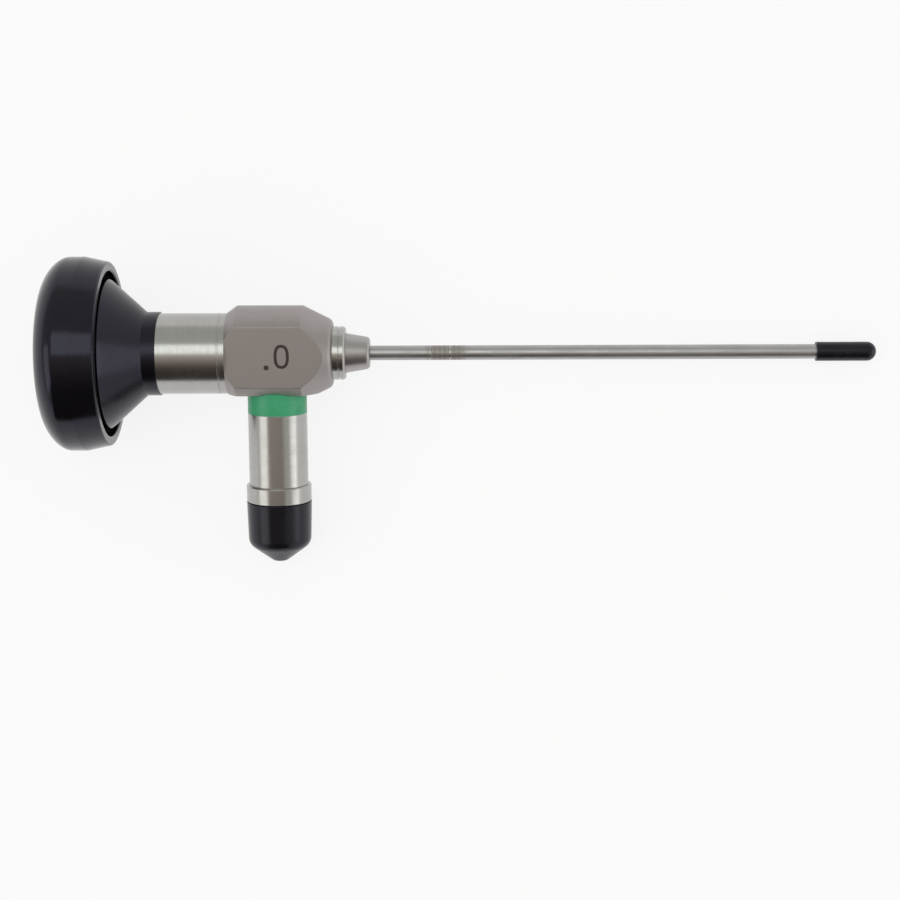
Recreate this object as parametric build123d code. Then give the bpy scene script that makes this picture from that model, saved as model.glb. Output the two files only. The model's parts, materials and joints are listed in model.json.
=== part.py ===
from build123d import *
import math
import os

# Rigid endoscope, in millimetres.
# Instrument frame: X runs along the optical axis from the eye face to the tip, -Y along the
# light post, and +Z is the side of the housing that faces the user. At the end every piece is
# put into the table frame, in which the instrument lies at rest with +Z up.

# Eyecup
cup_radius = 16.0            # rim that a camera coupler clamps, 32 mm across
cup_face_radius = 11.7       # flat eye face
cup_front_depth = 3.9        # rounding from the eye face to the rim
rim_length = 2.4             # cylindrical part of the rim
skirt_length = 3.9           # tapering skirt behind the rim
skirt_drop = 0.85            # how much the skirt narrows
skirt_wall = 1.5
skirt_groove_width = 1.35
skirt_groove_depth = 2.6
cup_cone_length = 6.0
neck_length = 2.2
neck_step = 0.25             # the black neck stands this far above the steel tube
dish_radius = 9.2            # mouth of the shallow dish in the eye face
dish_depth = 2.8
dish_floor_lip = 0.65

# Eyepiece optics
window_radius = 6.25
window_thickness = 1.6
window_ring_thickness = 0.8
window_ring_width = 1.0
barrel_radius = 4.0
barrel_wall = 0.6
barrel_gap = 1.0             # air between the window and the lens barrel
barrel_length = 16.8
lens_setback = 0.7
lens_lock_width = 0.6
ocular_lens_edge = 1.1
ocular_lens_crown = 1.2
field_stop_thickness = 0.5
field_stop_hole = 1.0
bush_length = 5.0

# Ocular tube
tube_radius = 6.65
tube_length = 11.2
spigot_radius = 5.2
cup_spigot_length = 5.0
block_spigot_length = 3.4
seal_thickness = 0.8
seal_setback = 1.5
witness_width = 0.25
witness_depth = 0.12
witness_setback = 1.2

# Housing block
block_length = 17.3
bar_radius = 7.9
block_depth = 12.3           # between the milled front and back faces
post_flat = 6.5              # from the optical axis to the flat that the post leaves from
ring_seat_depth = 0.5        # spot face in that flat, under the colour ring
back_cone_radius = 6.75      # the turned end beside the ocular tube
back_cone_length = 1.6
nose_length = 4.9
nose_end_radius = 5.45
nose_rounding = 1.1
post_offset = 7.9            # from the block's eye end to the post's axis

# Sheath seat and shaft
seat_radius = 4.4
seat_length = 2.1
seat_groove_width = 0.25
seat_groove_depth = 0.25
seat_chamfer = 0.3
hub_spigot_radius = 3.6
sleeve_base_radius = 3.3
sleeve_end_radius = 2.58
sleeve_length = 4.0
sleeve_rounding = 0.7
shaft_radius = 1.2
shaft_wall = 0.15
working_length = 85.4        # from the sheath seat's face to the tip
optic_tube_radius = 0.78
optic_tube_wall = 0.1
optic_tube_lead = 4.0        # how far it stands into the bush
rod_count = 5
rod_lead = 1.0
spacer_length = 1.2
spacer_wall = 0.14
objective_length = 1.3
objective_crown = 0.25
distal_window_thickness = 0.6

# Light post
post_core_radius = 3.6
post_core_depth = 1.75       # how far the core is let into the block below the ring
post_radius = 4.9
colour_ring_length = 3.85
post_sleeve_length = 12.1
collar_radius = 5.4
collar_length = 2.85
collar_chamfer = 0.3
core_end_length = 6.2        # spigot beyond the collar, under the cap
core_chamfer = 0.4
fibre_radius = 1.6
fibre_bend = 3.2
fibre_taper_length = 1.2     # from the end of the bend to the spigot of the shaft hub
ferrule_radius = 2.6
ferrule_length = 7.0

# Protective caps
post_cap_length = 10.25
post_cap_radius = 5.42
post_cap_taper = 0.2
post_cap_cone_length = 3.0
post_cap_end_radius = 1.2
post_cap_rounding = 2.0
post_cap_tip_rounding = 0.8
tip_cap_grip = 7.9           # length of shaft that the tip cap covers
tip_cap_wall = 0.34
tip_cap_end = 1.8

# Clearances
seat_clearance = 0.02        # radial, in every glued, soldered or screwed seat
ring_seat_clearance = 0.1    # radial, around the colour ring in its spot face
fibre_clearance = 0.2        # radial, around the loose fibre bundle
cap_clearance = 0.04         # radial, inside the two pull-off caps
cap_gap = 0.05               # between a cap and the face it is pushed up to
cap_end_gap = 0.2            # between a cap's floor and what it covers

# Stations along the optical axis
x_rim = cup_front_depth
x_rim_end = x_rim + rim_length
x_skirt = x_rim_end + skirt_length
x_neck = x_skirt + cup_cone_length
x_tube = x_neck + neck_length
x_block = x_tube + tube_length
x_nose = x_block + block_length
x_seat = x_nose + seat_length
x_tip = x_seat + working_length
x_post = x_block + post_offset
x_window = dish_depth + window_ring_thickness
x_shoulder = x_window + window_thickness
x_barrel = x_shoulder + barrel_gap
x_bush = x_barrel + barrel_length
x_optic = x_bush + bush_length - optic_tube_lead
x_taper = x_post + fibre_bend
x_hub = x_taper + fibre_taper_length

# Stations along the light post, measured from the optical axis
p_seat = post_flat - ring_seat_depth
p_core = p_seat - post_core_depth
p_ring = p_seat + colour_ring_length
p_collar = p_ring + post_sleeve_length
p_collar_end = p_collar + collar_length
p_core_end = p_collar_end + core_end_length
p_cap_end = p_collar_end + post_cap_length

optic_axis = Axis((0, 0, 0), (1, 0, 0))
post_axis = Axis((x_post, 0, 0), (0, -1, 0))


def near(face, x, y, radius):
    """Round the corner of a flat profile that lies at x, y."""
    corner = min(face.vertices(), key=lambda v: math.hypot(v.X - x, v.Y - y))
    return fillet(corner, radius)


def turned(*points, rounds=()):
    """Revolve a profile of (station, radius) points about the optical axis."""
    face = make_face(Polyline(*points, close=True))
    for x, r, radius in rounds:
        face = near(face, x, r, radius)
    return revolve(face, optic_axis)


def turned_on_post(*points, rounds=()):
    """Revolve a profile of (distance down the post, radius) points about the post's axis."""
    face = make_face(Polyline(*[(x_post + r, -p) for p, r in points], close=True))
    for p, r, radius in rounds:
        face = near(face, x_post + r, -p, radius)
    return revolve(face, post_axis)


def sleeve(start, end, outer, inner):
    """A plain tube on the optical axis."""
    return turned((start, inner), (start, outer), (end, outer), (end, inner))


def post_tube(start, end, outer, inner):
    """A plain tube on the post's axis."""
    return turned_on_post((start, inner), (start, outer), (end, outer), (end, inner))


def fibre_run(radius):
    """The fibre path from the post's face, round the bend and on to the shaft hub."""
    corner = (x_post, 0)
    path = FilletPolyline((x_post, -p_core_end), corner, (x_hub, 0), radius=fibre_bend)
    start = Plane(origin=(x_post, -p_core_end, 0), z_dir=(0, 1, 0))
    return sweep(start * Circle(radius), path)


# Eyecup, turned from one bar of black plastic
cone_base = cup_radius - skirt_drop - skirt_wall - skirt_groove_width
neck_radius = tube_radius + neck_step
spigot_bore = spigot_radius + seat_clearance
window_seat = window_radius + seat_clearance
skirt_inner = cup_radius - skirt_drop - skirt_wall
x_groove = x_skirt - skirt_groove_depth

front_curve = Bezier(
    (0, cup_face_radius),
    (0, cup_face_radius + 0.35 * (cup_radius - cup_face_radius)),
    (0.49 * cup_front_depth, cup_radius),
    (cup_front_depth, cup_radius),
)
rest_of_cup = Polyline(
    (x_rim, cup_radius),
    (x_rim_end, cup_radius),
    (x_skirt, cup_radius - skirt_drop),
    (x_skirt, skirt_inner),
    (x_groove, skirt_inner),
    (x_groove, cone_base),
    (x_skirt, cone_base),
    (x_neck, neck_radius),
    (x_tube, neck_radius),
    (x_tube, spigot_bore),
    (x_shoulder, spigot_bore),
    (x_shoulder, window_seat),
    (dish_depth, window_seat),
    (dish_depth, window_seat + dish_floor_lip),
    (0, dish_radius),
    (0, cup_face_radius),
)
cup_profile = make_face(front_curve + rest_of_cup)
cup_profile = near(cup_profile, x_skirt, cup_radius - skirt_drop, skirt_wall * 0.25)
cup_profile = near(cup_profile, x_skirt, skirt_inner, skirt_wall * 0.15)
cup_profile = near(cup_profile, 0, dish_radius, dish_depth * 0.15)
eyecup = revolve(cup_profile, optic_axis)

# Window behind the dish, with the ring that holds it on its shoulder
eyepiece_window = turned(
    (x_window, 0),
    (x_window, window_radius),
    (x_shoulder, window_radius),
    (x_shoulder, 0),
)
window_ring = sleeve(
    dish_depth, x_window, window_radius, window_radius - window_ring_width
)

# Lens barrel with the ocular lens, its lock ring and the field stop
lens_seat = barrel_radius - barrel_wall
lens_radius = lens_seat - seat_clearance
lens_barrel = sleeve(x_barrel, x_bush, barrel_radius, lens_seat)

x_lock = x_barrel + lens_setback
x_lens = x_lock + lens_lock_width
x_lens_back = x_lens + ocular_lens_edge
lens_lock_ring = sleeve(x_lock, x_lens, lens_radius, lens_radius - lens_lock_width)

lens_outline = Polyline(
    (x_lens_back, lens_radius), (x_lens, lens_radius), (x_lens, 0),
    (x_lens_back + ocular_lens_crown, 0),
)
lens_back = ThreePointArc(
    (x_lens_back + ocular_lens_crown, 0),
    (x_lens_back + ocular_lens_crown * 0.76, lens_radius * 0.5),
    (x_lens_back, lens_radius),
)
ocular_lens = revolve(make_face(lens_outline + lens_back), optic_axis)

field_stop = sleeve(
    x_bush - field_stop_thickness, x_bush, lens_radius, field_stop_hole
)

# Bush that centres the optic tube in the ocular tube
optic_seat = optic_tube_radius + seat_clearance
tube_bush = sleeve(x_bush, x_bush + bush_length, barrel_radius, optic_seat)

# Ocular tube, with a spigot at each end and a groove in each spigot for a seal ring
x_cup_seal = x_tube - seal_setback
x_block_seal = x_block + seal_setback
tube_bore = barrel_radius + seat_clearance
ocular_tube = turned(
    (x_tube - cup_spigot_length, tube_bore),
    (x_tube - cup_spigot_length, spigot_radius),
    (x_tube, spigot_radius),
    (x_tube, tube_radius),
    (x_block, tube_radius),
    (x_block, spigot_radius),
    (x_block + block_spigot_length, spigot_radius),
    (x_block + block_spigot_length, tube_bore),
)
x_witness = x_block - witness_setback
ocular_tube -= sleeve(
    x_witness, x_witness + witness_width, tube_radius + 1, tube_radius - witness_depth
)
groove_floor = spigot_radius - seal_thickness - 2 * seat_clearance
for x in (x_cup_seal, x_block_seal):
    half = seal_thickness / 2 + seat_clearance
    ocular_tube -= sleeve(x - half, x + half, spigot_radius + 1, groove_floor)


def seal_ring(x):
    """A round rubber ring lying in a spigot's groove."""
    centre = spigot_radius - seal_thickness / 2 - seat_clearance
    return Pos(x, 0, 0) * Rot(0, 90, 0) * Torus(centre, seal_thickness / 2)


eyecup_seal = seal_ring(x_cup_seal)
block_seal = seal_ring(x_block_seal)

# Sheath seat: a turned hub let into the block, with the ring that a sheath locks on
shaft_bore = shaft_radius + seat_clearance
x_seat_groove = x_nose + seat_length * 0.45
shaft_hub = turned(
    (x_hub, shaft_bore),
    (x_hub, hub_spigot_radius),
    (x_nose, hub_spigot_radius),
    (x_nose, seat_radius),
    (x_seat_groove, seat_radius),
    (x_seat_groove, seat_radius - seat_groove_depth),
    (x_seat_groove + seat_groove_width, seat_radius - seat_groove_depth),
    (x_seat_groove + seat_groove_width, seat_radius),
    (x_seat - seat_chamfer, seat_radius),
    (x_seat, seat_radius - seat_chamfer),
    (x_seat, shaft_bore),
)

# Tapered sleeve that supports the root of the shaft
x_sleeve_end = x_seat + sleeve_length
shaft_sleeve = turned(
    (x_seat, shaft_bore),
    (x_seat, sleeve_base_radius),
    (x_sleeve_end, sleeve_end_radius),
    (x_sleeve_end, shaft_bore),
    rounds=((x_sleeve_end, sleeve_end_radius, sleeve_rounding),),
)

# Shaft, fibres and optic tube, all flush at the tip
shaft_inner = shaft_radius - shaft_wall
outer_shaft = sleeve(x_hub, x_tip, shaft_radius, shaft_inner)

fibre_outer = shaft_inner - seat_clearance
light_fibres = fibre_run(fibre_radius) & Box(
    4 * fibre_bend + 4 * p_core_end, 4 * p_core_end, 4 * fibre_radius
).moved(Pos(x_taper - 2 * fibre_bend - 2 * p_core_end, 0, 0))
light_fibres += turned(
    (x_taper, 0), (x_taper, fibre_radius), (x_hub, fibre_outer), (x_tip, fibre_outer), (x_tip, 0)
)
light_fibres -= sleeve(x_block, x_tip + 1, optic_seat, 0)

optic_inner = optic_tube_radius - optic_tube_wall
optic_tube = sleeve(x_optic, x_tip, optic_tube_radius, optic_inner)

# Train of rod lenses and spacers inside the optic tube
glass_radius = optic_inner - seat_clearance
x_distal = x_tip - distal_window_thickness
x_objective = x_distal - objective_length
x_train = x_optic + rod_lead
rod_length = (x_objective - x_train - rod_count * spacer_length) / rod_count
rods = []
spacers = []
for i in range(rod_count):
    x = x_train + i * (rod_length + spacer_length)
    rods.append(turned((x, 0), (x, glass_radius), (x + rod_length, glass_radius), (x + rod_length, 0)))
    spacers.append(
        sleeve(x + rod_length, x + rod_length + spacer_length, glass_radius, glass_radius - spacer_wall)
    )
rod_lenses = Compound(rods)
spacer_tubes = Compound(spacers)

objective_front = Polyline(
    (x_objective + objective_crown, glass_radius),
    (x_distal, glass_radius),
    (x_distal, 0),
    (x_objective, 0),
)
objective_back = ThreePointArc(
    (x_objective, 0),
    (x_objective + objective_crown * 0.24, glass_radius * 0.5),
    (x_objective + objective_crown, glass_radius),
)
objective_lens = revolve(make_face(objective_front + objective_back), optic_axis)
distal_window = turned(
    (x_distal, 0), (x_distal, glass_radius), (x_tip, glass_radius), (x_tip, 0)
)

# Light post: a core let into the block carries the colour ring, the sleeve and the collar
fibre_bore = fibre_radius + fibre_clearance
ferrule_seat = ferrule_radius + seat_clearance
p_ferrule = p_core_end - ferrule_length
post_core = turned_on_post(
    (p_core, fibre_bore),
    (p_core, post_core_radius),
    (p_core_end - core_chamfer, post_core_radius),
    (p_core_end, post_core_radius - core_chamfer),
    (p_core_end, ferrule_seat),
    (p_ferrule, ferrule_seat),
    (p_ferrule, fibre_bore),
)
ring_bore = post_core_radius + seat_clearance
colour_ring = post_tube(p_seat, p_ring, post_radius, ring_bore)
post_sleeve = post_tube(p_ring, p_collar, post_radius, ring_bore)
post_collar = turned_on_post(
    (p_collar, ring_bore),
    (p_collar, collar_radius - collar_chamfer / 2),
    (p_collar + collar_chamfer / 2, collar_radius),
    (p_collar_end - collar_chamfer / 2, collar_radius),
    (p_collar_end, collar_radius - collar_chamfer / 2),
    (p_collar_end, ring_bore),
)
fibre_ferrule = post_tube(p_ferrule, p_core_end, ferrule_radius, fibre_radius + seat_clearance)

# Housing block: a turned bar with two milled faces and a flat on the post's side
bar = turned(
    (x_block, 0),
    (x_block, back_cone_radius),
    (x_block + back_cone_length, bar_radius),
    (x_nose - nose_length, bar_radius),
    (x_nose, nose_end_radius),
    (x_nose, 0),
    rounds=((x_nose, nose_end_radius, nose_rounding),),
)
mid_block = x_block + block_length / 2
milled = Box(block_length, bar_radius + post_flat, block_depth).moved(
    Pos(mid_block, (bar_radius - post_flat) / 2, 0)
)
housing_block = bar & milled
housing_block -= sleeve(
    x_block - 1, x_block + block_spigot_length + seat_clearance, spigot_bore, 0
)
housing_block -= sleeve(
    x_hub - seat_clearance, x_nose + 1, hub_spigot_radius + seat_clearance, 0
)
housing_block -= post_tube(p_core - seat_clearance, p_seat + 1, ring_bore, 0)
housing_block -= post_tube(p_seat, bar_radius, post_radius + ring_seat_clearance, 0)
housing_block -= sleeve(x_block, x_post, optic_seat + fibre_clearance, 0)
housing_block -= fibre_run(fibre_bore)

# Protective caps
cap_bore = post_core_radius + cap_clearance
p_cap = p_collar_end + cap_gap
p_cap_floor = p_core_end + cap_end_gap
p_shoulder = p_cap_end - post_cap_cone_length
shoulder_radius = post_cap_radius - post_cap_taper
post_cap = turned_on_post(
    (p_cap, cap_bore),
    (p_cap, post_cap_radius),
    (p_shoulder, shoulder_radius),
    (p_cap_end, post_cap_end_radius),
    (p_cap_end, 0),
    (p_cap_floor, 0),
    (p_cap_floor, cap_bore),
    rounds=(
        (p_shoulder, shoulder_radius, post_cap_rounding),
        (p_cap_end, post_cap_end_radius, post_cap_tip_rounding),
    ),
)

tip_bore = shaft_radius + cap_clearance
tip_cap_radius = tip_bore + tip_cap_wall
x_cap_floor = x_tip + cap_end_gap
x_cap_end = x_cap_floor + tip_cap_end
tip_cap = turned(
    (x_tip - tip_cap_grip, tip_bore),
    (x_tip - tip_cap_grip, tip_cap_radius),
    (x_cap_end, tip_cap_radius),
    (x_cap_end, 0),
    (x_cap_floor, 0),
    (x_cap_floor, tip_bore),
    rounds=((x_cap_end, tip_cap_radius, tip_cap_radius * 0.96),),
)


def resting_normal():
    """Upward direction of the table, in the instrument frame, for three points of rest.

    The instrument lies on the rear edge of its rim, on the tip cap and on the shoulder of the
    post cap. A height above the table is z0 + nu*x + np*p + nw*z, where p runs down the post.
    """
    along = Vector(p_cap - p_shoulder, post_cap_radius - shoulder_radius, 0).normalized()
    away = Vector(p_cap_end - p_shoulder, post_cap_end_radius - shoulder_radius, 0).normalized()
    middle = along + away
    sine = math.sin(math.radians(along.get_angle(away)) / 2)
    centre = Vector(p_shoulder, shoulder_radius, 0) + middle.normalized() * (post_cap_rounding / sine)
    x_sphere = x_cap_end - tip_cap_radius
    nu = 0.0
    np = 0.0
    for _ in range(80):
        across = math.sqrt(1 - nu * nu)
        nu = (tip_cap_radius - cup_radius * across) / (x_sphere - x_rim_end)
        z0 = tip_cap_radius - nu * x_sphere
        drop = centre.Y * math.sqrt(1 - np * np) + post_cap_rounding
        np = (drop - z0 - nu * x_post) / centre.X
    return Vector(nu, -np, math.sqrt(1 - nu * nu - np * np))


table = Plane(origin=(0, 0, 0), x_dir=(1, 0, 0), z_dir=resting_normal())

pieces = {
    "eyecup": eyecup,
    "window_ring": window_ring,
    "eyepiece_window": eyepiece_window,
    "lens_barrel": lens_barrel,
    "lens_lock_ring": lens_lock_ring,
    "ocular_lens": ocular_lens,
    "field_stop": field_stop,
    "tube_bush": tube_bush,
    "eyecup_seal": eyecup_seal,
    "ocular_tube": ocular_tube,
    "block_seal": block_seal,
    "housing_block": housing_block,
    "shaft_hub": shaft_hub,
    "shaft_sleeve": shaft_sleeve,
    "outer_shaft": outer_shaft,
    "light_fibres": light_fibres,
    "optic_tube": optic_tube,
    "rod_lenses": rod_lenses,
    "spacer_tubes": spacer_tubes,
    "objective_lens": objective_lens,
    "distal_window": distal_window,
    "post_core": post_core,
    "colour_ring": colour_ring,
    "post_sleeve": post_sleeve,
    "post_collar": post_collar,
    "fibre_ferrule": fibre_ferrule,
    "post_cap": post_cap,
    "tip_cap": tip_cap,
}

# Lay the instrument on the table, with the origin under the middle of its box
laid = {name: table.to_local_coords(shape) for name, shape in pieces.items()}
box = Compound(list(laid.values())).bounding_box()
shift = Vector(-(box.min.X + box.max.X) / 2, -(box.min.Y + box.max.Y) / 2, -box.min.Z)

os.makedirs("parts", exist_ok=True)
for name, shape in laid.items():
    placed = shape.moved(Location(shift))
    placed.label = name
    export_step(placed, os.path.join("parts", name + ".step"))
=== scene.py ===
"""Rigid endoscope lying on a pale table, seen from almost straight above.

Lengths are in metres unless a name ends in _MM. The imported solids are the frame: the optical
axis, the light post and the front face of the housing are read from its mounts, and every
place along them is read from its nodes.
"""

import json
import math

import bpy
import numpy as np
from mathutils import Matrix, Vector


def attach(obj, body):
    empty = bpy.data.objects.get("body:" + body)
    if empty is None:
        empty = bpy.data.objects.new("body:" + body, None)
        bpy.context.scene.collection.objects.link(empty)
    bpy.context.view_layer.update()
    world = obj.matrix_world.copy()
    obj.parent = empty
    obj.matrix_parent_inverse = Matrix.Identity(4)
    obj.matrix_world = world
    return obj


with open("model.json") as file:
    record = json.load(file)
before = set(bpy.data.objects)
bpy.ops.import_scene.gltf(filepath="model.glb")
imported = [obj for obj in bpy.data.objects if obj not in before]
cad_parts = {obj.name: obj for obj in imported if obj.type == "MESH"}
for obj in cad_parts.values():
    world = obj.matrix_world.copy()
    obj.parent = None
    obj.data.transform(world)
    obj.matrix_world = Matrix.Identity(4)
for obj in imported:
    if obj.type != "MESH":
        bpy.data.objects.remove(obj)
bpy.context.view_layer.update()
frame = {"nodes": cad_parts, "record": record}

MM = 0.001

# Directions and places of the instrument, from the frame
mounts = {mount["name"]: mount for mount in frame["record"]["mounts"]}
TIP = Vector(mounts["sheath_seat"]["axis"]).normalized()
POST = Vector(mounts["light_post"]["axis"]).normalized()
FACE = TIP.cross(-POST).normalized()
SEAT = Vector(mounts["sheath_seat"]["pos_m"])
SOCKET = Vector(mounts["light_post"]["pos_m"])
CROSSING = SEAT + TIP * (SOCKET - SEAT).dot(TIP)

# Camera, fitted to the photograph's outlines
CAMERA_FROM_CROSSING = Vector((0.06329, -0.03225, 0.29273))
CAMERA_TURN = (0.0538, 0.1173, -0.0029)
CAMERA_LENS_MM = 72.5
SENSOR_MM = 36.0

# Marks on the housing's face, measured from the crossing of the two axes
ZERO_CENTRE_MM = (1.4, 0.21)
ZERO_WIDTH_MM = 2.48
ZERO_HEIGHT_MM = 3.93
ZERO_STROKE_MM = 0.5
ZERO_SQUARENESS = 2.5
DOT_CENTRE_MM = (-1.09, -1.6)
DOT_RADIUS_MM = 0.42
DOT_HUB_MM = 0.02
MARK_HEIGHT_MM = 0.02

# Weld rings on the shaft, measured from the crossing of the two axes
WELD_RINGS_MM = (25.41, 28.7)
WELD_RING_WIDTH_MM = 0.36
WELD_RING_HEIGHT_MM = 0.02
TINT_START_MM = 24.3
TINT_END_MM = 32.3
TINT_RISE_MM = 1.2
TINT_FALL_MM = 2.5

# Eyecup: where its polished skirt ends and its satin cone starts, along the axis from the crossing
SKIRT_END_MM = -27.3
SKIRT_BLEND_MM = 1.0
SKIRT_ROUGHNESS = 0.12
CONE_ROUGHNESS = 0.24


def reach(node_name, direction):
    """Lowest and highest place of a node along a direction, from the crossing, in metres."""
    mesh = frame["nodes"][node_name].data
    points = np.empty(len(mesh.vertices) * 3)
    mesh.vertices.foreach_get("co", points)
    along = (points.reshape(-1, 3) - np.array(CROSSING)) @ np.array(direction)
    return float(along.min()), float(along.max())


def in_row(along, up, out):
    """Points given along the axis, away from the post and out of the face, in the row frame."""
    along, up, out = np.broadcast_arrays(along, up, out)
    axes = np.array([TIP, -POST, FACE])
    return np.stack([along, up, out], axis=-1) @ axes + np.array(CROSSING)


def full_turn(steps):
    """Even angles round a circle, without the last, which is the first again."""
    return np.linspace(0.0, 2 * math.pi, steps, endpoint=False)


def piece_from_grid(name, grid, material, body):
    """One object from a grid of points that closes in both directions."""
    rows, columns = grid.shape[:2]
    index = np.arange(rows * columns).reshape(rows, columns)
    right = np.roll(index, -1, axis=1)
    corner = np.roll(right, -1, axis=0)
    below = np.roll(index, -1, axis=0)
    faces = np.stack([index, right, corner, below], axis=-1).reshape(-1, 4)
    mesh = bpy.data.meshes.new(name)
    mesh.from_pydata(grid.reshape(-1, 3).tolist(), [], faces.tolist())
    mesh.shade_smooth()
    mesh.materials.append(material)
    made = bpy.data.objects.new(name, mesh)
    bpy.context.scene.collection.objects.link(made)
    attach(made, body)
    return made


# Node helpers

def add(tree, kind, values=None, **settings):
    """A shader node with its settings and the values of its unlinked sockets."""
    made = tree.nodes.new(kind)
    for name, value in settings.items():
        setattr(made, name, value)
    for name, value in (values or {}).items():
        made.inputs[name].default_value = value
    return made


def feed(tree, target, source):
    """Put a socket or a plain number into an input."""
    if isinstance(source, bpy.types.NodeSocket):
        tree.links.new(source, target)
    else:
        target.default_value = source


def calculate(tree, operation, first, second):
    """A Math node's result."""
    made = add(tree, "ShaderNodeMath", operation=operation)
    feed(tree, made.inputs[0], first)
    feed(tree, made.inputs[1], second)
    return made.outputs[0]


def spread(tree, value, low, high, to_low=0.0, to_high=1.0, smooth=False):
    """A value carried from one range to another, held at the ends."""
    made = add(tree, "ShaderNodeMapRange")
    if smooth:
        made.interpolation_type = "SMOOTHSTEP"
    feed(tree, made.inputs["Value"], value)
    feed(tree, made.inputs["From Min"], low)
    feed(tree, made.inputs["From Max"], high)
    feed(tree, made.inputs["To Min"], to_low)
    feed(tree, made.inputs["To Max"], to_high)
    return made.outputs["Result"]


def scaled(tree, vector, across):
    """A vector times another, part by part."""
    made = add(tree, "ShaderNodeVectorMath", operation="MULTIPLY")
    tree.links.new(vector, made.inputs[0])
    feed(tree, made.inputs[1], across)
    return made.outputs[0]


def noise(tree, vector, detail=2.0, roughness=0.5, distortion=0.0):
    """Noise from 0 to 1 over a vector that is already scaled."""
    made = add(tree, "ShaderNodeTexNoise", {
        "Scale": 1.0,
        "Detail": detail,
        "Roughness": roughness,
        "Distortion": distortion,
    })
    tree.links.new(vector, made.inputs["Vector"])
    return made.outputs["Fac"]


def mixed(tree, factor, first, second):
    """One colour turning into another."""
    made = add(tree, "ShaderNodeMix", data_type="RGBA")
    feed(tree, made.inputs["Factor"], factor)
    feed(tree, made.inputs["A"], first)
    feed(tree, made.inputs["B"], second)
    return made.outputs["Result"]


def plus(tree, value, mask, amount):
    """A value raised by an amount where the mask is 1, and lowered where the amount is negative."""
    return calculate(tree, "ADD", value, calculate(tree, "MULTIPLY", mask, amount))


def toned(tree, base, mask, amount, tone):
    """A base colour turned partly into a tone where the mask is 1."""
    return mixed(tree, calculate(tree, "MULTIPLY", mask, amount), base, tone)


def axial(tree, place):
    """How far a place lies along the turning axis."""
    parts = add(tree, "ShaderNodeSeparateXYZ")
    tree.links.new(place, parts.inputs[0])
    return parts.outputs["X"]


def colour(red, green, blue):
    """An opaque colour."""
    return (red, green, blue, 1.0)


def effect(name, inputs, outputs):
    """An empty node group with named sockets, and its two end nodes."""
    tree = bpy.data.node_groups.new(name, "ShaderNodeTree")
    for socket, kind in inputs.items():
        tree.interface.new_socket(socket, in_out="INPUT", socket_type=kind)
    for socket, kind in outputs.items():
        tree.interface.new_socket(socket, in_out="OUTPUT", socket_type=kind)
    return tree, tree.nodes.new("NodeGroupInput"), tree.nodes.new("NodeGroupOutput")


VALUE = "NodeSocketFloat"
VECTOR = "NodeSocketVector"


# Effects that several finishes share

def make_turned_marks():
    """Rings left by turning: noise drawn out around the axis, fine and broad.

    Height = noise(x / pitch, y, z nearly unchanged), so that it varies along the axis only.
    """
    tree, start, end = effect(
        "turned_marks",
        {"Place": VECTOR, "Pitch": VALUE},
        {"Height": VALUE, "Streak": VALUE},
    )
    fine = calculate(tree, "DIVIDE", 1.0, start.outputs["Pitch"])
    across = add(tree, "ShaderNodeCombineXYZ", {"Y": 90.0, "Z": 90.0})
    feed(tree, across.inputs["X"], fine)
    lines = noise(tree, scaled(tree, start.outputs["Place"], across.outputs[0]), 3.0, 0.65)
    broad = add(tree, "ShaderNodeCombineXYZ", {"Y": 160.0, "Z": 160.0})
    feed(tree, broad.inputs["X"], calculate(tree, "MULTIPLY", fine, 0.13))
    bands = noise(tree, scaled(tree, start.outputs["Place"], broad.outputs[0]), 4.0, 0.6)
    tree.links.new(lines, end.inputs["Height"])
    tree.links.new(spread(tree, bands, 0.3, 0.7), end.inputs["Streak"])
    return tree


def make_drawn_marks():
    """Lines left by drawing a tube: noise drawn out along the axis."""
    tree, start, end = effect(
        "drawn_marks",
        {"Place": VECTOR, "Pitch": VALUE},
        {"Height": VALUE, "Streak": VALUE},
    )
    fine = calculate(tree, "DIVIDE", 1.0, start.outputs["Pitch"])
    across = add(tree, "ShaderNodeCombineXYZ", {"X": 140.0})
    feed(tree, across.inputs["Y"], fine)
    feed(tree, across.inputs["Z"], fine)
    lines = noise(tree, scaled(tree, start.outputs["Place"], across.outputs[0]), 3.0, 0.6)
    along = scaled(tree, start.outputs["Place"], (260.0, 900.0, 900.0))
    tree.links.new(lines, end.inputs["Height"])
    tree.links.new(spread(tree, noise(tree, along, 3.0, 0.6), 0.35, 0.65), end.inputs["Streak"])
    return tree


def make_blasted_grain():
    """Bead blasting: round dimples from Voronoi cells under a finer noise."""
    tree, start, end = effect(
        "blasted_grain",
        {"Place": VECTOR, "Grain": VALUE},
        {"Height": VALUE, "Speck": VALUE},
    )
    size = calculate(tree, "DIVIDE", 1.0, start.outputs["Grain"])
    across = add(tree, "ShaderNodeCombineXYZ")
    for axis in "XYZ":
        feed(tree, across.inputs[axis], size)
    place = scaled(tree, start.outputs["Place"], across.outputs[0])
    dimples = add(tree, "ShaderNodeTexVoronoi", {"Scale": 1.0, "Smoothness": 0.6}, feature="SMOOTH_F1")
    tree.links.new(place, dimples.inputs["Vector"])
    fine = noise(tree, place, 4.0, 0.7)
    height = calculate(tree, "ADD", dimples.outputs["Distance"], calculate(tree, "MULTIPLY", fine, 0.8))
    tree.links.new(height, end.inputs["Height"])
    tree.links.new(spread(tree, fine, 0.35, 0.7), end.inputs["Speck"])
    return tree


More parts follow.
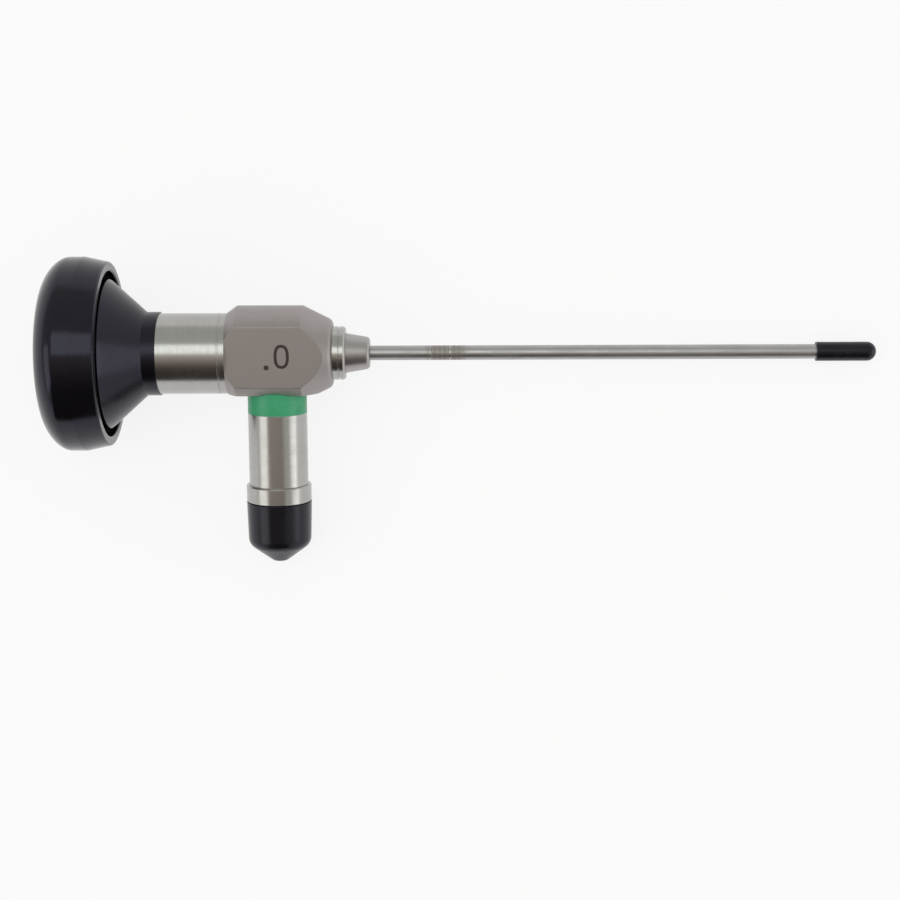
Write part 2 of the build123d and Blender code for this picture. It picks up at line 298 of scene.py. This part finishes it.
SCRATCH_TURNS = (0.5, 1.7, 2.7)
SCRATCH_SCALE = (12000.0, 110.0, 110.0)
SCRATCH_PATCH_SCALE = (170.0, 170.0, 170.0)
HAND_MARK_SCALE = (210.0, 210.0, 210.0)
WEAR_SCALE = (900.0, 900.0, 900.0)
DUST_SCALE = (1500.0, 1500.0, 1500.0)
FIBRE_SCALE = (16000.0, 16000.0, 16000.0)


def make_scratches():
    """Fine handling scratches: thin crests of noise drawn out in three directions."""
    tree, start, end = effect("scratches", {"Place": VECTOR}, {"Mask": VALUE})
    total = None
    for turn in SCRATCH_TURNS:
        turned = add(tree, "ShaderNodeVectorRotate", {
            "Axis": (0.3, 0.2, 1.0),
            "Angle": turn,
        })
        tree.links.new(start.outputs["Place"], turned.inputs["Vector"])
        drawn = scaled(tree, turned.outputs[0], SCRATCH_SCALE)
        crest = spread(tree, noise(tree, drawn, 1.0, 0.4), 0.74, 0.8)
        total = crest if total is None else calculate(tree, "MAXIMUM", total, crest)
    patch = scaled(tree, start.outputs["Place"], SCRATCH_PATCH_SCALE)
    kept = spread(tree, noise(tree, patch, 2.0, 0.5), 0.48, 0.62)
    tree.links.new(calculate(tree, "MULTIPLY", total, kept), end.inputs["Mask"])
    return tree


def make_hand_marks():
    """Smudges and haze from handling: slow, warped noise."""
    tree, start, end = effect("hand_marks", {"Place": VECTOR}, {"Mask": VALUE})
    slow = scaled(tree, start.outputs["Place"], HAND_MARK_SCALE)
    haze = noise(tree, slow, 4.0, 0.6, 1.3)
    tree.links.new(spread(tree, haze, 0.38, 0.68), end.inputs["Mask"])
    return tree


def make_worn_edges():
    """Edges rubbed by use: where the rounded normal leaves the face's own normal."""
    tree, start, end = effect(
        "worn_edges",
        {"Place": VECTOR, "Radius": VALUE},
        {"Mask": VALUE, "Normal": VECTOR},
    )
    rounded = add(tree, "ShaderNodeBevel", samples=6)
    tree.links.new(start.outputs["Radius"], rounded.inputs["Radius"])
    surface = add(tree, "ShaderNodeNewGeometry")
    match = add(tree, "ShaderNodeVectorMath", operation="DOT_PRODUCT")
    tree.links.new(rounded.outputs["Normal"], match.inputs[0])
    tree.links.new(surface.outputs["Normal"], match.inputs[1])
    edge = spread(tree, match.outputs["Value"], 0.995, 0.93)
    uneven = noise(tree, scaled(tree, start.outputs["Place"], WEAR_SCALE), 3.0, 0.6)
    worn = calculate(tree, "MULTIPLY", edge, spread(tree, uneven, 0.35, 0.6, 0.25, 1.0))
    tree.links.new(worn, end.inputs["Mask"])
    tree.links.new(rounded.outputs["Normal"], end.inputs["Normal"])
    return tree


def make_dust():
    """Specks of dust and lint: small round cells, most of them left out."""
    tree, start, end = effect("dust", {"Place": VECTOR}, {"Mask": VALUE})
    cells = add(tree, "ShaderNodeTexVoronoi", {"Scale": 1.0, "Randomness": 1.0})
    tree.links.new(scaled(tree, start.outputs["Place"], DUST_SCALE), cells.inputs["Vector"])
    chosen = add(tree, "ShaderNodeSeparateColor")
    tree.links.new(cells.outputs["Color"], chosen.inputs["Color"])
    kept = calculate(tree, "GREATER_THAN", chosen.outputs["Red"], 0.9)
    size = spread(tree, chosen.outputs["Green"], 0.0, 1.0, 0.05, 0.16)
    speck = calculate(tree, "LESS_THAN", cells.outputs["Distance"], size)
    tree.links.new(calculate(tree, "MULTIPLY", kept, speck), end.inputs["Mask"])
    return tree


effects = {
    "turned_marks": make_turned_marks(),
    "drawn_marks": make_drawn_marks(),
    "blasted_grain": make_blasted_grain(),
    "scratches": make_scratches(),
    "hand_marks": make_hand_marks(),
    "worn_edges": make_worn_edges(),
    "dust": make_dust(),
}


def use(tree, name, place, values=None):
    """One of the shared effects, placed in a material."""
    made = add(tree, "ShaderNodeGroup", node_tree=effects[name])
    tree.links.new(place, made.inputs["Place"])
    for socket, value in (values or {}).items():
        made.inputs[socket].default_value = value
    return made.outputs


# Where a finish lies: Object coordinates turned so that X runs along the turning axis

def turning_place(tree, along, across):
    """Object coordinates measured from the crossing, with X along a turning axis."""
    third = along.cross(across)
    turn = Matrix((along, across, third))
    mapping = add(tree, "ShaderNodeMapping", {
        "Location": turn @ -CROSSING,
        "Rotation": turn.to_euler("XYZ"),
    })
    coordinates = add(tree, "ShaderNodeTexCoord")
    tree.links.new(coordinates.outputs["Object"], mapping.inputs["Vector"])
    return mapping.outputs["Vector"]


def on_axis(tree):
    """The place of a finish on what is turned about the optical axis."""
    return turning_place(tree, TIP, -POST)


def on_post(tree):
    """The place of a finish on what is turned about the light post."""
    return turning_place(tree, POST, TIP)


def finish(name, place_on, values):
    """A material with a Principled shader, its plain constants, and a place to pattern from."""
    made = bpy.data.materials.new(name)
    made.use_nodes = True
    tree = made.node_tree
    tree.nodes.clear()
    shader = add(tree, "ShaderNodeBsdfPrincipled", values)
    end = add(tree, "ShaderNodeOutputMaterial")
    tree.links.new(shader.outputs["BSDF"], end.inputs["Surface"])
    return made, tree, shader, place_on(tree)


def bump(tree, shader, height, depth, base_normal=None):
    """Relief of a given depth in metres."""
    made = add(tree, "ShaderNodeBump", {"Strength": 1.0, "Distance": depth})
    tree.links.new(height, made.inputs["Height"])
    if base_normal is not None:
        tree.links.new(base_normal, made.inputs["Normal"])
    tree.links.new(made.outputs["Normal"], shader.inputs["Normal"])


# Finishes

BRIGHT_STEEL = (colour(0.41, 0.405, 0.39), colour(0.435, 0.43, 0.415))
SATIN_STEEL = (colour(0.4, 0.378, 0.38), colour(0.43, 0.405, 0.408))


def turned_steel(name, place_on, tones=BRIGHT_STEEL, roughness=0.21):
    """Stainless steel, finely turned: rings around the axis, haze, scratches and rubbed edges."""
    made, tree, shader, place = finish(name, place_on, {"Metallic": 1.0})
    marks = use(tree, "turned_marks", place, {"Pitch": 0.07 * MM})
    haze = use(tree, "hand_marks", place)["Mask"]
    scratch = use(tree, "scratches", place)["Mask"]
    edges = use(tree, "worn_edges", place, {"Radius": 0.07 * MM})
    base = mixed(tree, marks["Streak"], *tones)
    base = toned(tree, base, haze, 0.2, colour(0.35, 0.33, 0.305))
    base = toned(tree, base, edges["Mask"], 0.3, colour(0.52, 0.51, 0.49))
    tree.links.new(base, shader.inputs["Base Color"])
    rough = spread(tree, marks["Streak"], 0.0, 1.0, roughness + 0.02, roughness - 0.02)
    rough = plus(tree, rough, haze, 0.05)
    rough = plus(tree, rough, scratch, 0.05)
    tree.links.new(rough, shader.inputs["Roughness"])
    bump(tree, shader, marks["Height"], 0.0007 * MM, edges["Normal"])
    return made


def drawn_steel(name):
    """The shaft: drawn stainless tube, with a faint heat tint where it was welded."""
    made, tree, shader, place = finish(name, on_axis, {"Metallic": 1.0})
    marks = use(tree, "drawn_marks", place, {"Pitch": 0.06 * MM})
    haze = use(tree, "hand_marks", place)["Mask"]
    along = axial(tree, place)
    rise_end = (TINT_START_MM + TINT_RISE_MM) * MM
    fall_start = (TINT_END_MM - TINT_FALL_MM) * MM
    rise = spread(tree, along, TINT_START_MM * MM, rise_end, smooth=True)
    fall = spread(tree, along, fall_start, TINT_END_MM * MM, 1.0, 0.0, smooth=True)
    ripple = add(tree, "ShaderNodeTexWave", {"Scale": 390.0, "Distortion": 0.8, "Detail": 2.0})
    tree.links.new(place, ripple.inputs["Vector"])
    tint = calculate(tree, "MULTIPLY", rise, fall)
    tint = calculate(tree, "MULTIPLY", tint, spread(tree, ripple.outputs["Fac"], 0.0, 1.0, 0.6, 1.0))
    base = mixed(tree, marks["Streak"], colour(0.41, 0.4, 0.405), colour(0.45, 0.44, 0.445))
    base = mixed(tree, tint, base, colour(0.3, 0.27, 0.25))
    tree.links.new(base, shader.inputs["Base Color"])
    rough = spread(tree, marks["Streak"], 0.0, 1.0, 0.4, 0.34)
    rough = plus(tree, rough, haze, 0.06)
    rough = plus(tree, rough, tint, 0.12)
    tree.links.new(rough, shader.inputs["Roughness"])
    bump(tree, shader, marks["Height"], 0.0008 * MM)
    return made


def blasted_steel(name):
    """The housing: bead-blasted stainless steel, with smoother, brighter edges."""
    made, tree, shader, place = finish(name, on_axis, {"Metallic": 1.0})
    grain = use(tree, "blasted_grain", place, {"Grain": 0.11 * MM})
    haze = use(tree, "hand_marks", place)["Mask"]
    edges = use(tree, "worn_edges", place, {"Radius": 0.16 * MM})
    base = mixed(tree, grain["Speck"], colour(0.345, 0.318, 0.312), colour(0.395, 0.367, 0.36))
    base = toned(tree, base, haze, 0.25, colour(0.33, 0.3, 0.28))
    base = toned(tree, base, edges["Mask"], 0.35, colour(0.54, 0.53, 0.515))
    tree.links.new(base, shader.inputs["Base Color"])
    rough = spread(tree, grain["Speck"], 0.0, 1.0, 0.46, 0.4)
    rough = plus(tree, rough, haze, 0.04)
    rough = plus(tree, rough, edges["Mask"], -0.08)
    tree.links.new(rough, shader.inputs["Roughness"])
    bump(tree, shader, grain["Height"], 0.0025 * MM, edges["Normal"])
    return made


def black_plastic(name):
    """The eyecup: black high-temperature plastic, turned and then smoothed."""
    made, tree, shader, place = finish(name, on_axis, {
        "Metallic": 0.0,
        "IOR": 1.45,
        "Specular IOR Level": 0.48,
        "Specular Tint": colour(0.78, 0.74, 1.0),
    })
    marks = use(tree, "turned_marks", place, {"Pitch": 0.16 * MM})
    haze = use(tree, "hand_marks", place)["Mask"]
    scratch = use(tree, "scratches", place)["Mask"]
    edges = use(tree, "worn_edges", place, {"Radius": 0.09 * MM})
    specks = use(tree, "dust", place)["Mask"]
    base = mixed(tree, haze, colour(0.0019, 0.0017, 0.0026), colour(0.0028, 0.0026, 0.004))
    base = toned(tree, base, edges["Mask"], 0.1, colour(0.012, 0.012, 0.016))
    base = toned(tree, base, specks, 0.2, colour(0.1, 0.1, 0.095))
    tree.links.new(base, shader.inputs["Base Color"])
    cone_start = (SKIRT_END_MM + SKIRT_BLEND_MM) * MM
    cone = spread(tree, axial(tree, place), SKIRT_END_MM * MM, cone_start, smooth=True)
    rough = spread(tree, cone, 0.0, 1.0, SKIRT_ROUGHNESS, CONE_ROUGHNESS)
    rough = plus(tree, rough, haze, 0.05)
    rough = plus(tree, rough, marks["Streak"], 0.02)
    rough = plus(tree, rough, edges["Mask"], 0.3)
    rough = plus(tree, rough, scratch, 0.1)
    tree.links.new(rough, shader.inputs["Roughness"])
    bump(tree, shader, marks["Height"], 0.0006 * MM, edges["Normal"])
    return made


def black_rubber(name, place_on):
    """The two pull-off caps: moulded black rubber with a fine skin and some lint."""
    made, tree, shader, place = finish(name, place_on, {
        "Metallic": 0.0,
        "IOR": 1.45,
        "Specular IOR Level": 0.48,
        "Specular Tint": colour(0.84, 0.82, 1.0),
    })
    grain = use(tree, "blasted_grain", place, {"Grain": 0.16 * MM})
    haze = use(tree, "hand_marks", place)["Mask"]
    specks = use(tree, "dust", place)["Mask"]
    edges = use(tree, "worn_edges", place, {"Radius": 0.15 * MM})
    base = mixed(tree, haze, colour(0.0028, 0.0027, 0.0044), colour(0.005, 0.0048, 0.0068))
    base = toned(tree, base, edges["Mask"], 0.25, colour(0.025, 0.025, 0.028))
    base = toned(tree, base, specks, 0.35, colour(0.14, 0.14, 0.13))
    tree.links.new(base, shader.inputs["Base Color"])
    tree.links.new(spread(tree, haze, 0.0, 1.0, 0.22, 0.32), shader.inputs["Roughness"])
    bump(tree, shader, grain["Height"], 0.0012 * MM, edges["Normal"])
    return made


def green_ring(name):
    """The colour ring: green plastic with faint turning marks."""
    made, tree, shader, place = finish(name, on_post, {
        "Metallic": 0.0,
        "IOR": 1.45,
        "Specular IOR Level": 0.45,
    })
    marks = use(tree, "turned_marks", place, {"Pitch": 0.14 * MM})
    haze = use(tree, "hand_marks", place)["Mask"]
    edges = use(tree, "worn_edges", place, {"Radius": 0.12 * MM})
    base = mixed(tree, haze, colour(0.04, 0.325, 0.15), colour(0.052, 0.37, 0.18))
    base = toned(tree, base, edges["Mask"], 0.3, colour(0.12, 0.42, 0.26))
    tree.links.new(base, shader.inputs["Base Color"])
    tree.links.new(spread(tree, marks["Streak"], 0.0, 1.0, 0.3, 0.4), shader.inputs["Roughness"])
    bump(tree, shader, marks["Height"], 0.0015 * MM, edges["Normal"])
    return made


def anodised(name):
    """Black anodised aluminium of the lens barrel and its rings."""
    made, tree, shader, place = finish(name, on_axis, {"Metallic": 0.6})
    marks = use(tree, "turned_marks", place, {"Pitch": 0.09 * MM})
    edges = use(tree, "worn_edges", place, {"Radius": 0.08 * MM})
    base = mixed(tree, marks["Streak"], colour(0.018, 0.018, 0.02), colour(0.03, 0.03, 0.033))
    base = mixed(tree, edges["Mask"], base, colour(0.22, 0.22, 0.22))
    tree.links.new(base, shader.inputs["Base Color"])
    tree.links.new(spread(tree, marks["Streak"], 0.0, 1.0, 0.42, 0.34), shader.inputs["Roughness"])
    bump(tree, shader, marks["Height"], 0.002 * MM, edges["Normal"])
    return made


def turned_brass(name):
    """The bush that centres the optic tube."""
    made, tree, shader, place = finish(name, on_axis, {"Metallic": 1.0})
    marks = use(tree, "turned_marks", place, {"Pitch": 0.08 * MM})
    haze = use(tree, "hand_marks", place)["Mask"]
    base = mixed(tree, haze, colour(0.72, 0.52, 0.22), colour(0.55, 0.38, 0.16))
    tree.links.new(base, shader.inputs["Base Color"])
    tree.links.new(spread(tree, marks["Streak"], 0.0, 1.0, 0.34, 0.25), shader.inputs["Roughness"])
    bump(tree, shader, marks["Height"], 0.002 * MM)
    return made


def seal_rubber(name):
    """The two round seal rings."""
    made, tree, shader, place = finish(name, on_axis, {"Metallic": 0.0, "IOR": 1.5})
    grain = use(tree, "blasted_grain", place, {"Grain": 0.09 * MM})
    base = mixed(tree, grain["Speck"], colour(0.02, 0.02, 0.02), colour(0.035, 0.034, 0.033))
    tree.links.new(base, shader.inputs["Base Color"])
    tree.links.new(spread(tree, grain["Speck"], 0.0, 1.0, 0.6, 0.5), shader.inputs["Roughness"])
    bump(tree, shader, grain["Height"], 0.002 * MM)
    return made


def clear_glass(name):
    """The windows and lenses: coated glass with a trace of haze."""
    made, tree, shader, place = finish(name, on_axis, {
        "Metallic": 0.0,
        "IOR": 1.52,
        "Transmission Weight": 1.0,
    })
    haze = use(tree, "hand_marks", place)["Mask"]
    base = mixed(tree, haze, colour(0.9, 0.93, 0.96), colour(0.85, 0.87, 0.92))
    tree.links.new(base, shader.inputs["Base Color"])
    tree.links.new(spread(tree, haze, 0.0, 1.0, 0.01, 0.06), shader.inputs["Roughness"])
    return made


def fibre_glass(name):
    """The light fibres: a packed bundle, so the polished ends show small round cells."""
    made, tree, shader, place = finish(name, on_axis, {"Metallic": 0.0, "IOR": 1.55})
    cells = add(tree, "ShaderNodeTexVoronoi", {"Scale": 1.0})
    tree.links.new(scaled(tree, place, FIBRE_SCALE), cells.inputs["Vector"])
    core = spread(tree, cells.outputs["Distance"], 0.3, 0.7)
    base = mixed(tree, core, colour(0.8, 0.76, 0.6), colour(0.3, 0.26, 0.18))
    tree.links.new(base, shader.inputs["Base Color"])
    tree.links.new(spread(tree, core, 0.0, 1.0, 0.12, 0.45), shader.inputs["Roughness"])
    return made


def mark_paint(name):
    """Dark filling of the angle mark."""
    made, tree, shader, place = finish(name, on_axis, {"Metallic": 0.0, "IOR": 1.45})
    grain = use(tree, "blasted_grain", place, {"Grain": 0.09 * MM})
    base = mixed(tree, grain["Speck"], colour(0.025, 0.016, 0.014), colour(0.055, 0.038, 0.033))
    tree.links.new(base, shader.inputs["Base Color"])
    tree.links.new(spread(tree, grain["Speck"], 0.0, 1.0, 0.55, 0.7), shader.inputs["Roughness"])
    bump(tree, shader, grain["Height"], 0.004 * MM)
    return made


finishes = {
    "axis_steel": turned_steel("turned_steel_axis", on_axis),
    "post_steel": turned_steel("turned_steel_post", on_post, roughness=0.22),
    "sleeve_steel": turned_steel("turned_steel_sleeve", on_axis, SATIN_STEEL, roughness=0.33),
    "shaft_steel": drawn_steel("drawn_steel"),
    "housing_steel": blasted_steel("blasted_steel"),
    "eyecup_plastic": black_plastic("eyecup_plastic"),
    "post_rubber": black_rubber("cap_rubber_post", on_post),
    "tip_rubber": black_rubber("cap_rubber_tip", on_axis),
    "ring_plastic": green_ring("green_ring_plastic"),
    "anodised": anodised("black_anodised"),
    "brass": turned_brass("turned_brass"),
    "seal_rubber": seal_rubber("seal_rubber"),
    "glass": clear_glass("coated_glass"),
    "fibres": fibre_glass("fibre_bundle"),
    "mark_paint": mark_paint("mark_paint"),
}

finish_of_node = {
    "eyecup": "eyecup_plastic",
    "window_ring": "anodised",
    "eyepiece_window": "glass",
    "lens_barrel": "anodised",
    "lens_lock_ring": "anodised",
    "ocular_lens": "glass",
    "field_stop": "anodised",
    "tube_bush": "brass",
    "eyecup_seal": "seal_rubber",
    "ocular_tube": "axis_steel",
    "block_seal": "seal_rubber",
    "housing_block": "housing_steel",
    "shaft_hub": "axis_steel",
    "shaft_sleeve": "sleeve_steel",
    "outer_shaft": "shaft_steel",
    "light_fibres": "fibres",
    "optic_tube": "shaft_steel",
    "rod_lenses": "glass",
    "spacer_tubes": "anodised",
    "objective_lens": "glass",
    "distal_window": "glass",
    "post_core": "post_steel",
    "colour_ring": "ring_plastic",
    "post_sleeve": "post_steel",
    "post_collar": "post_steel",
    "fibre_ferrule": "post_steel",
    "post_cap": "post_rubber",
    "tip_cap": "tip_rubber",
}
for node_name, finish_name in finish_of_node.items():
    solid = frame["nodes"][node_name]
    for material_slot in solid.material_slots:
        material_slot.material = finishes[finish_name]


# Angle mark on the housing's face

def make_zero_mark():
    """The figure 0: an oval band of elliptical section, half sunk in the face.

    Its centreline is the superellipse |x/a|^n + |y/b|^n = 1. Across it, a point at angle t
    lies half the stroke times cos t to the side and the mark's height times sin t out.
    """
    around = full_turn(96)[:, None]
    across = full_turn(16)[None, :]
    half_width = (ZERO_WIDTH_MM - ZERO_STROKE_MM) / 2
    half_height = (ZERO_HEIGHT_MM - ZERO_STROKE_MM) / 2
    power = 2 / ZERO_SQUARENESS
    x = half_width * np.sign(np.cos(around)) * np.abs(np.cos(around)) ** power
    y = half_height * np.sign(np.sin(around)) * np.abs(np.sin(around)) ** power
    slope_x = np.roll(x, -1, axis=0) - np.roll(x, 1, axis=0)
    slope_y = np.roll(y, -1, axis=0) - np.roll(y, 1, axis=0)
    length = np.hypot(slope_x, slope_y)
    side = ZERO_STROKE_MM / 2 * np.cos(across)
    along = (ZERO_CENTRE_MM[0] + x + side * slope_y / length) * MM
    up = (ZERO_CENTRE_MM[1] + y - side * slope_x / length) * MM
    out = reach("housing_block", FACE)[1] + MARK_HEIGHT_MM * MM * np.sin(across)
    grid = in_row(along, up, out)
    return piece_from_grid("angle_mark_zero", grid, finishes["mark_paint"], "instrument")


def make_dot_mark():
    """The dot beside the 0: a ring drawn in to a tiny hub, so a disc, half sunk in the face.

    Radius = the dot's radius times (1 + cos t) / 2 from a small hub, height = the mark's
    height times sin t.
    """
    around = full_turn(40)[:, None]
    across = full_turn(16)[None, :]
    radius = (DOT_HUB_MM + (DOT_RADIUS_MM - DOT_HUB_MM) * (1 + np.cos(across)) / 2) * MM
    along = DOT_CENTRE_MM[0] * MM + radius * np.cos(around)
    up = DOT_CENTRE_MM[1] * MM + radius * np.sin(around)
    out = reach("housing_block", FACE)[1] + MARK_HEIGHT_MM * MM * np.sin(across)
    grid = in_row(along, up, out)
    return piece_from_grid("angle_mark_dot", grid, finishes["mark_paint"], "instrument")


make_zero_mark()
make_dot_mark()


def make_weld_ring(name, centre):
    """A weld bead on the shaft: a ring of elliptical section, half sunk in the tube."""
    around = full_turn(64)[:, None]
    across = full_turn(12)[None, :]
    shaft_radius = reach("outer_shaft", FACE)[1]
    along = centre + WELD_RING_WIDTH_MM / 2 * MM * np.cos(across)
    radius = shaft_radius + WELD_RING_HEIGHT_MM * MM * np.sin(across)
    grid = in_row(along + 0 * around, radius * np.cos(around), radius * np.sin(around))
    return piece_from_grid(name, grid, finishes["axis_steel"], "instrument")


for number, station in enumerate(WELD_RINGS_MM, start=1):
    make_weld_ring(f"weld_ring_{number}", station * MM)


# Table, light and camera

WHITE = colour(1.0, 1.0, 1.0)

FLOOR_SIZE = 6.0
FLOOR_GLOW = 0.84
FLOOR_COLOUR = colour(0.9, 0.9, 0.9)


def make_floor():
    """A pale table. Seen directly or mirrored it is partly a white glow, so shadows stay soft."""
    half = FLOOR_SIZE / 2
    mesh = bpy.data.meshes.new("table")
    corners = [(-half, -half, 0), (half, -half, 0), (half, half, 0), (-half, half, 0)]
    mesh.from_pydata(corners, [], [(0, 1, 2, 3)])
    made = bpy.data.objects.new("table", mesh)
    bpy.context.scene.collection.objects.link(made)
    material = bpy.data.materials.new("pale_table")
    material.use_nodes = True
    tree = material.node_tree
    tree.nodes.clear()
    matt = add(tree, "ShaderNodeBsdfDiffuse", {"Color": FLOOR_COLOUR})
    glow = add(tree, "ShaderNodeEmission", {"Color": WHITE, "Strength": 1.0})
    path = add(tree, "ShaderNodeLightPath")
    seen = calculate(tree, "MAXIMUM", path.outputs["Is Camera Ray"], path.outputs["Is Glossy Ray"])
    seen = calculate(tree, "MAXIMUM", seen, path.outputs["Is Transmission Ray"])
    share = calculate(tree, "MULTIPLY", seen, FLOOR_GLOW)
    blend = add(tree, "ShaderNodeMixShader")
    tree.links.new(share, blend.inputs[0])
    tree.links.new(matt.outputs[0], blend.inputs[1])
    tree.links.new(glow.outputs[0], blend.inputs[2])
    end = add(tree, "ShaderNodeOutputMaterial")
    tree.links.new(blend.outputs[0], end.inputs["Surface"])
    mesh.materials.append(material)


BACKDROP_TOP = 0.1
OVERHEAD_FROM = 0.32
OVERHEAD_TONE = colour(0.61, 0.615, 0.58)


def make_world():
    """A room that is white at the horizon, as the backdrop, and a quiet grey overhead."""
    world = bpy.data.worlds.new("studio")
    bpy.context.scene.world = world
    world.use_nodes = True
    tree = world.node_tree
    tree.nodes.clear()
    direction = add(tree, "ShaderNodeTexCoord").outputs["Generated"]
    parts = add(tree, "ShaderNodeSeparateXYZ")
    tree.links.new(direction, parts.inputs[0])
    overhead = spread(tree, parts.outputs["Z"], BACKDROP_TOP, OVERHEAD_FROM, smooth=True)
    tone = mixed(tree, overhead, WHITE, OVERHEAD_TONE)
    sky = add(tree, "ShaderNodeBackground", {"Strength": 1.0})
    tree.links.new(tone, sky.inputs["Color"])
    end = add(tree, "ShaderNodeOutputWorld")
    tree.links.new(sky.outputs[0], end.inputs["Surface"])


LAMP_DISTANCE = 0.6
DAYLIGHT = (0.94, 1.0, 0.98)
LAMPLIGHT = (1.0, 0.99, 0.97)

# Each lamp: tilt towards +X and +Y in degrees, width and height, brightness and tint
LAMPS = {
    "window_lamp": (2.0, 5.5, 0.42, 0.27, 1.3, DAYLIGHT),
    "left_lamp": (-47.0, -24.0, 0.34, 0.45, 1.1, LAMPLIGHT),
    "right_lamp": (74.0, -28.0, 0.28, 0.36, 1.1, LAMPLIGHT),
}


def make_lamp(name, tilt_x, tilt_y, size_x, size_y, brightness, tint):
    """A soft rectangular lamp that faces the housing.

    Tilts are degrees away from straight above, towards +X and +Y. The power gives the stated
    brightness: power = brightness times pi times area.
    """
    x = math.radians(tilt_x)
    y = math.radians(tilt_y)
    towards = Vector((math.sin(x), math.cos(x) * math.sin(y), math.cos(x) * math.cos(y)))
    light = bpy.data.lights.new(name, "AREA")
    light.shape = "RECTANGLE"
    light.size = size_x
    light.size_y = size_y
    light.energy = brightness * math.pi * size_x * size_y
    light.color = tint
    lamp = bpy.data.objects.new(name, light)
    bpy.context.scene.collection.objects.link(lamp)
    side = Vector((0, 1, 0)).cross(towards).normalized()
    upward = towards.cross(side)
    turn = Matrix((side, upward, towards)).transposed().to_4x4()
    lamp.matrix_world = Matrix.Translation(CROSSING + towards * LAMP_DISTANCE) @ turn
    lamp.visible_camera = False


CARD_RADIUS = 0.7
CARD_HALF_WIDTH = 0.42
CARD_FROM_DEGREES = 8.0
CARD_TO_DEGREES = 89.0
CARD_FADE = 7.0
CARD_LOW_TONE = colour(0.055, 0.043, 0.038)
CARD_HIGH_TONE = colour(0.64, 0.55, 0.5)


def make_dark_card():
    """A warm dark card on the post's side, for the metal to mirror: a quarter of a cylinder.

    Its curve runs over the crossing from near straight above down to the table, at a fixed
    radius. Its tone goes from low to high with the height over the radius to a power.
    """
    angle = np.radians(np.linspace(CARD_FROM_DEGREES, CARD_TO_DEGREES, 40))[:, None]
    across = np.linspace(-CARD_HALF_WIDTH, CARD_HALF_WIDTH, 9)[None, :]
    x = across + 0 * angle + CROSSING.x
    y = CROSSING.y - CARD_RADIUS * np.sin(angle) + 0 * across
    z = CROSSING.z + CARD_RADIUS * np.cos(angle) + 0 * across
    grid = np.stack([x, y, z], axis=-1)
    rows, columns = grid.shape[:2]
    index = np.arange(rows * columns).reshape(rows, columns)
    faces = np.stack([index[:-1, :-1], index[:-1, 1:], index[1:, 1:], index[1:, :-1]], axis=-1)
    mesh = bpy.data.meshes.new("dark_card")
    mesh.from_pydata(grid.reshape(-1, 3).tolist(), [], faces.reshape(-1, 4).tolist())
    mesh.shade_smooth()
    made = bpy.data.objects.new("dark_card", mesh)
    bpy.context.scene.collection.objects.link(made)
    material = bpy.data.materials.new("dark_card")
    material.use_nodes = True
    tree = material.node_tree
    tree.nodes.clear()
    place = add(tree, "ShaderNodeTexCoord").outputs["Object"]
    parts = add(tree, "ShaderNodeSeparateXYZ")
    tree.links.new(place, parts.inputs[0])
    height = spread(tree, parts.outputs["Z"], 0.0, CARD_RADIUS)
    lit = calculate(tree, "POWER", height, CARD_FADE)
    tone = mixed(tree, lit, CARD_LOW_TONE, CARD_HIGH_TONE)
    glow = add(tree, "ShaderNodeEmission", {"Strength": 1.0})
    tree.links.new(tone, glow.inputs["Color"])
    end = add(tree, "ShaderNodeOutputMaterial")
    tree.links.new(glow.outputs[0], end.inputs["Surface"])
    mesh.materials.append(material)
    made.visible_camera = False
    made.visible_diffuse = False
    made.visible_shadow = False
    made.visible_transmission = False


def make_camera():
    """The camera, at the photograph's place and angle."""
    camera = bpy.data.cameras.new("photo_camera")
    camera.sensor_fit = "HORIZONTAL"
    camera.sensor_width = SENSOR_MM
    camera.lens = CAMERA_LENS_MM
    camera.clip_start = 0.01
    holder = bpy.data.objects.new("photo_camera", camera)
    holder.location = CROSSING + CAMERA_FROM_CROSSING
    holder.rotation_euler = CAMERA_TURN
    bpy.context.scene.collection.objects.link(holder)
    bpy.context.scene.camera = holder


make_floor()
make_world()
for lamp_name, lamp_values in LAMPS.items():
    make_lamp(lamp_name, *lamp_values)
make_dark_card()
make_camera()
bpy.context.scene.view_settings.view_transform = "Standard"
